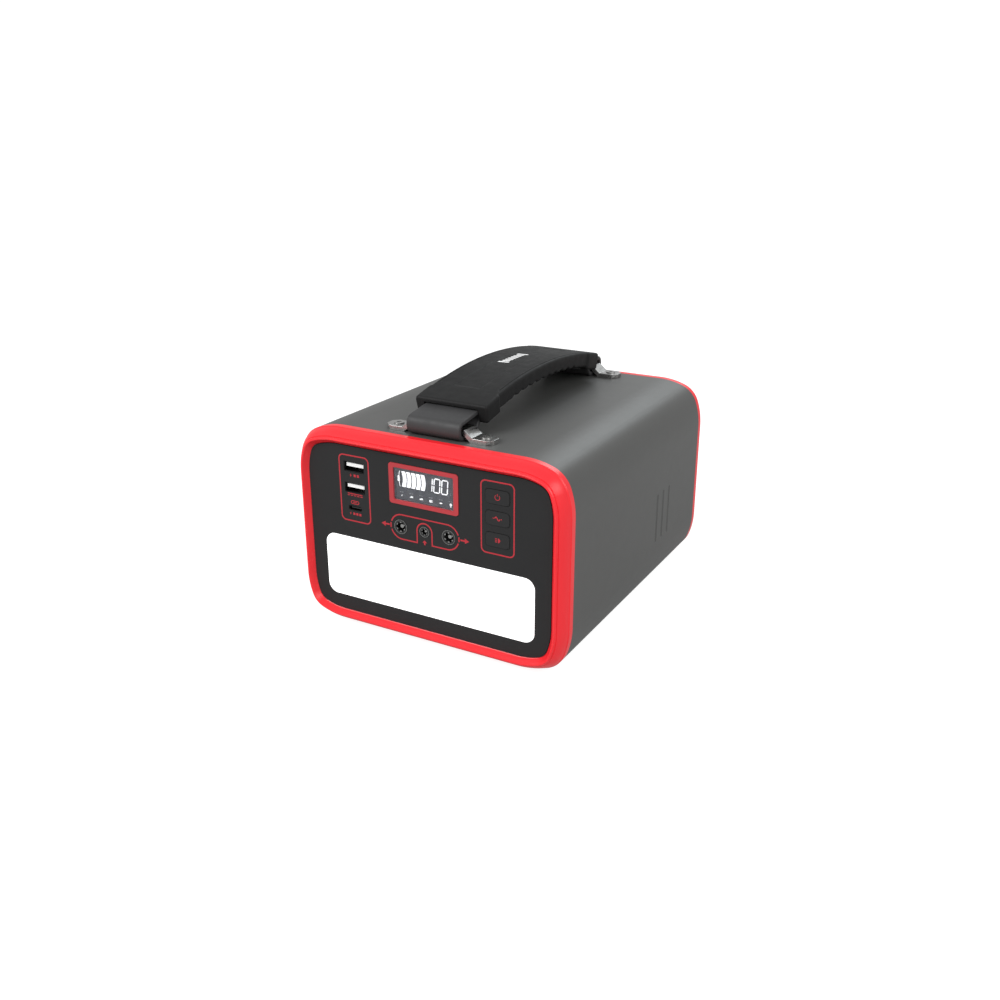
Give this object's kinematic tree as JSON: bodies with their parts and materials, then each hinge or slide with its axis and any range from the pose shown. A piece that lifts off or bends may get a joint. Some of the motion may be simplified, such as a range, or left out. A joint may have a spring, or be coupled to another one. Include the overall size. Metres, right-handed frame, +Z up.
{
  "type": "power station",
  "caption": "Box-shaped portable power station: metal sleeve, red end frames, front lamp, display, sockets, push buttons and an arched strap handle.",
  "frame": {"origin": "bottom centre of the object, on the surface it stands on", "axes": "+Z up, -Y out of the front panel, +X to the right seen from the front"},
  "size_m": [0.1668, 0.2018, 0.1407],
  "materials": {
    "sleeve_aluminium": "satin anodised, fine grain",
    "red_plastic": "satin moulded red plastic",
    "panel_plastic": "fine textured dark moulded plastic",
    "display_red": "satin red plastic",
    "clear_window": "clear gloss window",
    "display_glass": "dark display glass with white segments",
    "diffuser": "white light diffuser",
    "white_plastic": "white reflective plastic",
    "circuit_board": "green solder mask",
    "led": "clear resin",
    "port_metal": "plated steel",
    "shell_metal": "dark plated steel",
    "port_plastic": "light insulating plastic",
    "black_plastic": "black moulded plastic",
    "button_rubber": "soft dark key",
    "bright_steel": "bright plated steel",
    "strap_rubber": "grey coated webbing",
    "grip_rubber": "dark moulded rubber",
    "foot_rubber": "black rubber",
    "cell_wrap": "shrink wrap",
    "nickel": "nickel",
    "lead_wire": "wire insulation",
    "transformer_wound": "varnished winding and ferrite",
    "heatsink_aluminium": "bare extruded",
    "brass_contact": "plain"
  },
  "bodies": {
    "case": {"ac_contacts": "brass_contact", "ac_socket": "black_plastic", "ac_switch": "black_plastic", "battery_leads": "lead_wire", "bms_board": "circuit_board", "board_screws": "bright_steel", "body_sleeve": "sleeve_aluminium", "bracket_screws": "bright_steel", "cell_holder_front": "black_plastic", "cell_holder_rear": "black_plastic", "cell_row_1": "cell_wrap", "cell_row_2": "cell_wrap", "cell_row_3": "cell_wrap", "cell_row_4": "cell_wrap", "cell_strips": "nickel", "control_board": "circuit_board", "dc_in_jack": "black_plastic", "dc_in_pin": "port_metal", "dc_out_left_jack": "black_plastic", "dc_out_left_pin": "port_metal", "dc_out_right_jack": "black_plastic", "dc_out_right_pin": "port_metal", "display_frame": "display_red", "display_lens": "clear_window", "display_module": "display_glass", "fan_housing": "black_plastic", "front_bezel": "red_plastic", "front_bezel_screws": "bright_steel", "front_handle_bracket": "bright_steel", "front_panel": "panel_plastic", "heatsink": "heatsink_aluminium", "inverter_board": "circuit_board", "lamp_switch": "black_plastic", "light_board": "circuit_board", "light_diffuser": "diffuser", "light_leds": "led", "light_reflector": "white_plastic", "power_switch": "black_plastic", "rear_bezel": "red_plastic", "rear_handle_bracket": "bright_steel", "rear_panel": "panel_plastic", "rear_panel_screws": "bright_steel", "rubber_feet": "foot_rubber", "transformer": "transformer_wound", "usb_a_lower_shell": "shell_metal", "usb_a_lower_tongue": "port_plastic", "usb_a_upper_shell": "shell_metal", "usb_a_upper_tongue": "port_plastic", "usb_c_shell": "shell_metal", "usb_c_tongue": "black_plastic"},
    "power_key": {"power_button": "button_rubber", "power_switch_plunger": "white_plastic"},
    "ac_key": {"ac_button": "button_rubber", "ac_switch_plunger": "white_plastic"},
    "lamp_key": {"lamp_button": "button_rubber", "lamp_switch_plunger": "white_plastic"},
    "rotor": {"fan_rotor": "black_plastic"},
    "handle": {"front_strap_loop": "strap_rubber", "rear_strap_loop": "strap_rubber", "handle_grip": "grip_rubber"}
  },
  "joints": [
    {"name": "power_press", "type": "slide", "parent": "case", "child": "power_key", "axis": [0, 1, 0], "range_m": [0, 0.0007], "stiffness_N_per_m": 600, "springref_m": -0.0003},
    {"name": "ac_press", "type": "slide", "parent": "case", "child": "ac_key", "axis": [0, 1, 0], "range_m": [0, 0.0007], "stiffness_N_per_m": 600, "springref_m": -0.0003},
    {"name": "lamp_press", "type": "slide", "parent": "case", "child": "lamp_key", "axis": [0, 1, 0], "range_m": [0, 0.0007], "stiffness_N_per_m": 600, "springref_m": -0.0003},
    {"name": "fan_spin", "type": "hinge", "parent": "case", "child": "rotor", "pos_m": [-0.034, 0.0873, 0.0605], "axis": [0, 1, 0], "continuous": true},
    {"name": "handle_lift", "type": "slide", "parent": "case", "child": "handle", "axis": [0, 0, 1], "range_m": [0, 0.0008]}
  ]
}
